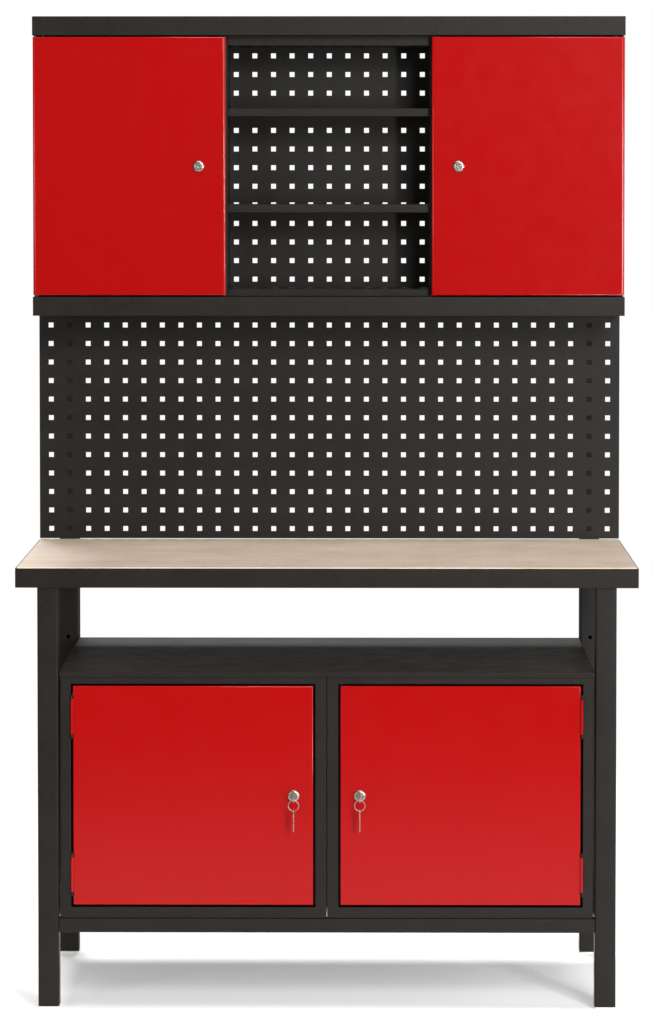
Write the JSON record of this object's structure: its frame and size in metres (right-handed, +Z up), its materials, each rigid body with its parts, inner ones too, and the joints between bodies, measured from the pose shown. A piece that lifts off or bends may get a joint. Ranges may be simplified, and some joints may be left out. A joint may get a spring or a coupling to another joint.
{
  "type": "workbench",
  "caption": "Steel workbench with a wooden top, lower cabinets with red hinged doors and keyed cam locks, a perforated tool panel and an upper cabinet with doors and open shelves.",
  "frame": {"origin": "on the floor, at the middle of the object's box in X and Y", "axes": "+X to the right seen from the front, +Y towards the back, +Z up; the doors face -Y"},
  "size_m": [1.19, 0.6466, 1.914],
  "materials": {
    "black_paint": "fine-textured anthracite powder coat",
    "red_paint": "smooth satin red powder coat",
    "wood_board": "pale sanded wood-based board, lightly sealed",
    "foot_plastic": "pale matt plastic",
    "nickel": "nickel plated",
    "zinc": "zinc plated steel"
  },
  "bodies": {
    "bench": {"worktop_frame": "black_paint", "worktop_board": "wood_board", "leg_front_left": "black_paint", "foot_cap_front_left": "foot_plastic", "leg_front_right": "black_paint", "foot_cap_front_right": "foot_plastic", "leg_rear_left": "black_paint", "foot_cap_rear_left": "foot_plastic", "leg_rear_right": "black_paint", "foot_cap_rear_right": "foot_plastic", "bottom_rail_front": "black_paint", "bottom_rail_rear": "black_paint", "bottom_rail_left": "black_paint", "bottom_rail_right": "black_paint", "storage_shelf": "black_paint", "cabinet_shell_left": "black_paint", "face_frame_left": "black_paint", "inner_shelf_left": "black_paint", "hinge_pin_lower_left": "zinc", "hinge_pin_upper_left": "zinc", "cabinet_shell_right": "black_paint", "face_frame_right": "black_paint", "inner_shelf_right": "black_paint", "hinge_pin_lower_right": "zinc", "hinge_pin_upper_right": "zinc", "upright_left": "black_paint", "upright_right": "black_paint", "tool_panel": "black_paint", "upper_lid": "black_paint", "upper_tray": "black_paint", "upper_back": "black_paint", "bay_floor": "black_paint", "bay_ceiling": "black_paint", "bay_shelf_lower": "black_paint", "bay_shelf_upper": "black_paint", "upper_side_left": "black_paint", "upper_divider_left": "black_paint", "compartment_shelf_left": "black_paint", "upper_side_right": "black_paint", "upper_divider_right": "black_paint", "compartment_shelf_right": "black_paint"},
    "lower_door_left": {"lower_door_left": "red_paint", "lock_housing_lower_left": "nickel"},
    "lower_lock_left": {"lock_plug_lower_left": "nickel", "key_lower_left": "nickel"},
    "key_ring_left": {"key_ring_lower_left": "nickel"},
    "spare_key_left": {"spare_key_lower_left": "nickel"},
    "upper_door_left": {"upper_door_left": "red_paint", "lock_housing_upper_left": "nickel"},
    "upper_lock_left": {"lock_plug_upper_left": "nickel"},
    "lower_door_right": {"lower_door_right": "red_paint", "lock_housing_lower_right": "nickel"},
    "lower_lock_right": {"lock_plug_lower_right": "nickel", "key_lower_right": "nickel"},
    "key_ring_right": {"key_ring_lower_right": "nickel"},
    "spare_key_right": {"spare_key_lower_right": "nickel"},
    "upper_door_right": {"upper_door_right": "red_paint", "lock_housing_upper_right": "nickel"},
    "upper_lock_right": {"lock_plug_upper_right": "nickel"}
  },
  "joints": [
    {"name": "lower_door_left_hinge", "type": "hinge", "parent": "bench", "child": "lower_door_left", "pos_m": [-0.488, -0.2925, 0.4105], "axis": [0, 0, -1], "range_deg": [0, 110]},
    {"name": "lower_lock_left_turn", "type": "hinge", "parent": "lower_door_left", "child": "lower_lock_left", "pos_m": [-0.0633, -0.2897, 0.4105], "axis": [0, -1, 0], "range_deg": [0, 90]},
    {"name": "key_ring_left_swing", "type": "hinge", "parent": "lower_lock_left", "child": "key_ring_left", "pos_m": [-0.0633, -0.3133, 0.402], "axis": [0, 1, 0], "range_deg": [0, 90]},
    {"name": "spare_key_left_swing", "type": "hinge", "parent": "key_ring_left", "child": "spare_key_left", "pos_m": [-0.0633, -0.3133, 0.3849], "axis": [-1, 0, 0], "range_deg": [-6, 60]},
    {"name": "upper_door_left_hinge", "type": "hinge", "parent": "bench", "child": "upper_door_left", "pos_m": [-0.588, 0.137, 1.614], "axis": [0, 0, -1], "range_deg": [0, 110]},
    {"name": "upper_lock_left_turn", "type": "hinge", "parent": "upper_door_left", "child": "upper_lock_left", "pos_m": [-0.2605, 0.132, 1.614], "axis": [0, -1, 0], "range_deg": [0, 90]},
    {"name": "lower_door_right_hinge", "type": "hinge", "parent": "bench", "child": "lower_door_right", "pos_m": [0.488, -0.2925, 0.4105], "axis": [0, 0, 1], "range_deg": [0, 110]},
    {"name": "lower_lock_right_turn", "type": "hinge", "parent": "lower_door_right", "child": "lower_lock_right", "pos_m": [0.0633, -0.2897, 0.4105], "axis": [0, 1, 0], "range_deg": [0, 90]},
    {"name": "key_ring_right_swing", "type": "hinge", "parent": "lower_lock_right", "child": "key_ring_right", "pos_m": [0.0633, -0.3133, 0.402], "axis": [0, -1, 0], "range_deg": [0, 90]},
    {"name": "spare_key_right_swing", "type": "hinge", "parent": "key_ring_right", "child": "spare_key_right", "pos_m": [0.0633, -0.3133, 0.3849], "axis": [-1, 0, 0], "range_deg": [-6, 60]},
    {"name": "upper_door_right_hinge", "type": "hinge", "parent": "bench", "child": "upper_door_right", "pos_m": [0.588, 0.137, 1.614], "axis": [0, 0, 1], "range_deg": [0, 110]},
    {"name": "upper_lock_right_turn", "type": "hinge", "parent": "upper_door_right", "child": "upper_lock_right", "pos_m": [0.2605, 0.132, 1.614], "axis": [0, 1, 0], "range_deg": [0, 90]}
  ],
  "couplings": [
    {"joint": "key_ring_left_swing", "follows": "lower_lock_left_turn", "ratio": 1},
    {"joint": "key_ring_right_swing", "follows": "lower_lock_right_turn", "ratio": 1}
  ]
}
